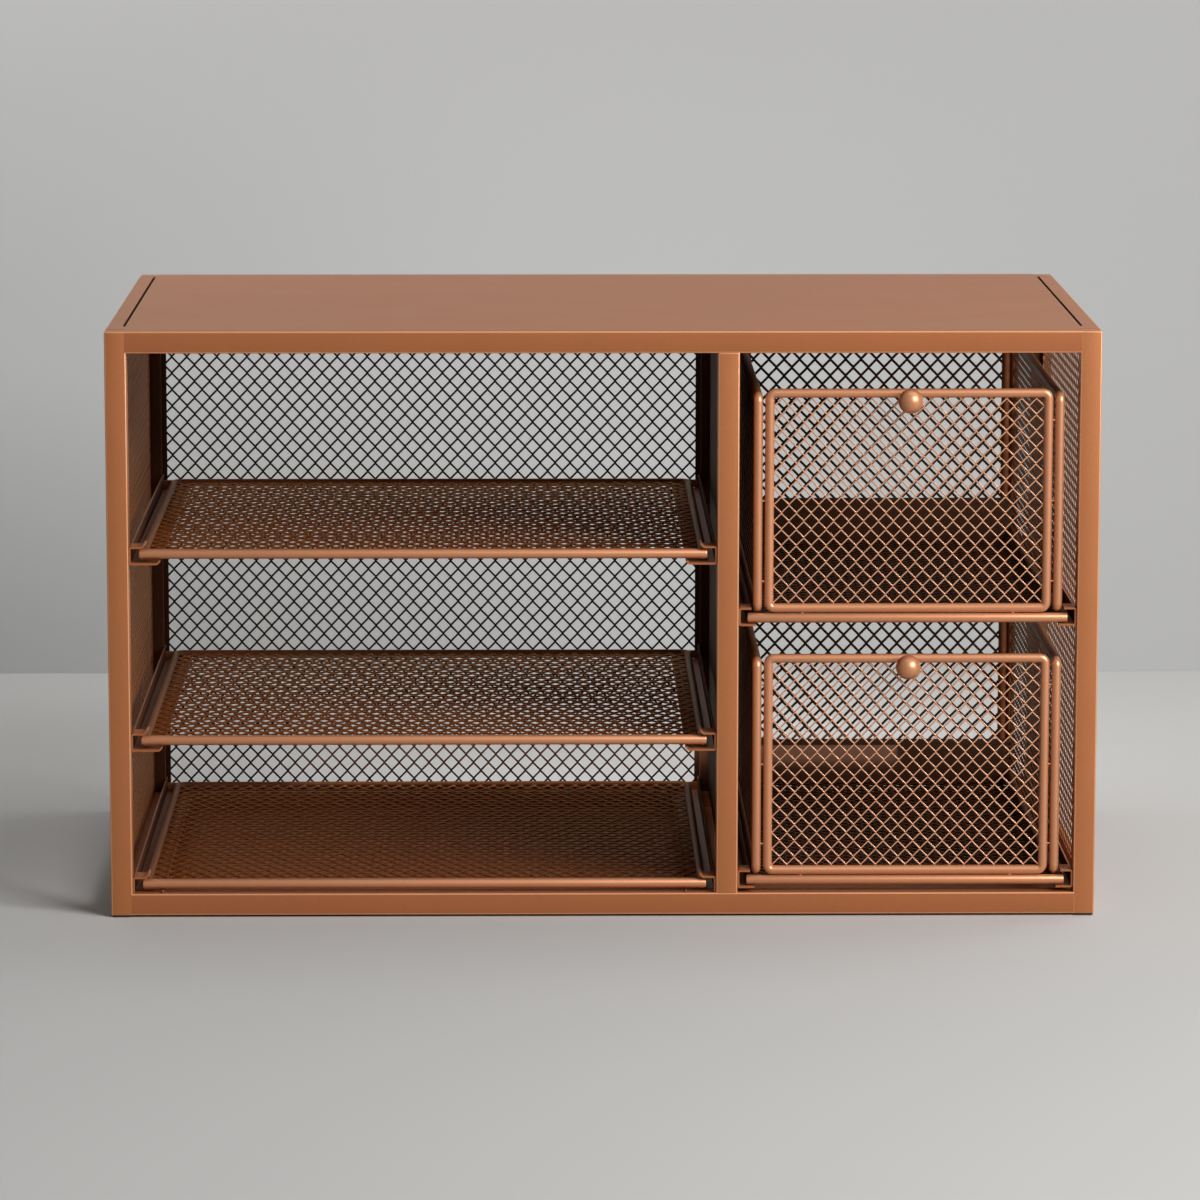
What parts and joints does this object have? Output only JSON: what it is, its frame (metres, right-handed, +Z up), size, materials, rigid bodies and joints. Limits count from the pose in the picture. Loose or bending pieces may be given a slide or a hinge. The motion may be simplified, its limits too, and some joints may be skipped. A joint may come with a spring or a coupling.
{
  "type": "desk organizer",
  "caption": "Low steel desk cabinet in copper paint with sliding wire mesh paper trays on one side and wire mesh drawers with ball knobs on the other.",
  "frame": {"origin": "centre of the bottom of the whole box, on the table, knobs included", "axes": "+X to the right along the width, +Y to the back, +Z up; drawers and trays open towards -Y"},
  "size_m": [0.54, 0.3124, 0.3232],
  "materials": {
    "copper_paint": "satin copper powder paint on steel sheet and square tube",
    "copper_rod": "satin copper powder paint on round steel rod",
    "copper_wire_mesh": "satin copper powder paint on fine welded steel wire",
    "foot_rubber": "matt black rubber"
  },
  "bodies": {
    "cabinet": {"post_front_left": "copper_paint", "post_front_right": "copper_paint", "post_back_left": "copper_paint", "post_back_right": "copper_paint", "foot_front_left": "foot_rubber", "foot_front_right": "foot_rubber", "foot_back_left": "foot_rubber", "foot_back_right": "foot_rubber", "divider_post_front": "copper_paint", "divider_post_back": "copper_paint", "divider_panel": "copper_paint", "rail_top_left": "copper_paint", "rail_top_right": "copper_paint", "rail_bottom_left": "copper_paint", "rail_bottom_right": "copper_paint", "rail_bottom_front": "copper_paint", "rail_bottom_back": "copper_paint", "top_panel": "copper_paint", "bottom_panel": "copper_paint", "side_mesh_left": "copper_wire_mesh", "side_mesh_right": "copper_wire_mesh", "back_mesh": "copper_wire_mesh", "tray_top_runner_left": "copper_paint", "tray_top_runner_right": "copper_paint", "tray_middle_runner_left": "copper_paint", "tray_middle_runner_right": "copper_paint", "tray_bottom_runner_left": "copper_paint", "tray_bottom_runner_right": "copper_paint", "drawer_upper_runner_left": "copper_paint", "drawer_upper_runner_right": "copper_paint", "drawer_lower_runner_left": "copper_paint", "drawer_lower_runner_right": "copper_paint"},
    "tray_top": {"tray_top_frame": "copper_rod", "tray_top_mesh": "copper_wire_mesh"},
    "tray_middle": {"tray_middle_frame": "copper_rod", "tray_middle_mesh": "copper_wire_mesh"},
    "tray_bottom": {"tray_bottom_frame": "copper_rod", "tray_bottom_mesh": "copper_wire_mesh"},
    "drawer_upper": {"drawer_upper_base_frame": "copper_rod", "drawer_upper_floor_mesh": "copper_wire_mesh", "drawer_upper_front_frame": "copper_rod", "drawer_upper_front_mesh": "copper_wire_mesh", "drawer_upper_back_frame": "copper_rod", "drawer_upper_back_mesh": "copper_wire_mesh", "drawer_upper_left_frame": "copper_rod", "drawer_upper_left_mesh": "copper_wire_mesh", "drawer_upper_right_frame": "copper_rod", "drawer_upper_right_mesh": "copper_wire_mesh", "drawer_upper_knob": "copper_rod"},
    "drawer_lower": {"drawer_lower_base_frame": "copper_rod", "drawer_lower_floor_mesh": "copper_wire_mesh", "drawer_lower_front_frame": "copper_rod", "drawer_lower_front_mesh": "copper_wire_mesh", "drawer_lower_back_frame": "copper_rod", "drawer_lower_back_mesh": "copper_wire_mesh", "drawer_lower_left_frame": "copper_rod", "drawer_lower_left_mesh": "copper_wire_mesh", "drawer_lower_right_frame": "copper_rod", "drawer_lower_right_mesh": "copper_wire_mesh", "drawer_lower_knob": "copper_rod"}
  },
  "joints": [
    {"name": "tray_top_slide", "type": "slide", "parent": "cabinet", "child": "tray_top", "axis": [0, -1, 0], "range_m": [0, 0.2]},
    {"name": "tray_middle_slide", "type": "slide", "parent": "cabinet", "child": "tray_middle", "axis": [0, -1, 0], "range_m": [0, 0.2]},
    {"name": "tray_bottom_slide", "type": "slide", "parent": "cabinet", "child": "tray_bottom", "axis": [0, -1, 0], "range_m": [0, 0.2]},
    {"name": "drawer_upper_slide", "type": "slide", "parent": "cabinet", "child": "drawer_upper", "axis": [0, -1, 0], "range_m": [0, 0.23]},
    {"name": "drawer_lower_slide", "type": "slide", "parent": "cabinet", "child": "drawer_lower", "axis": [0, -1, 0], "range_m": [0, 0.23]}
  ]
}
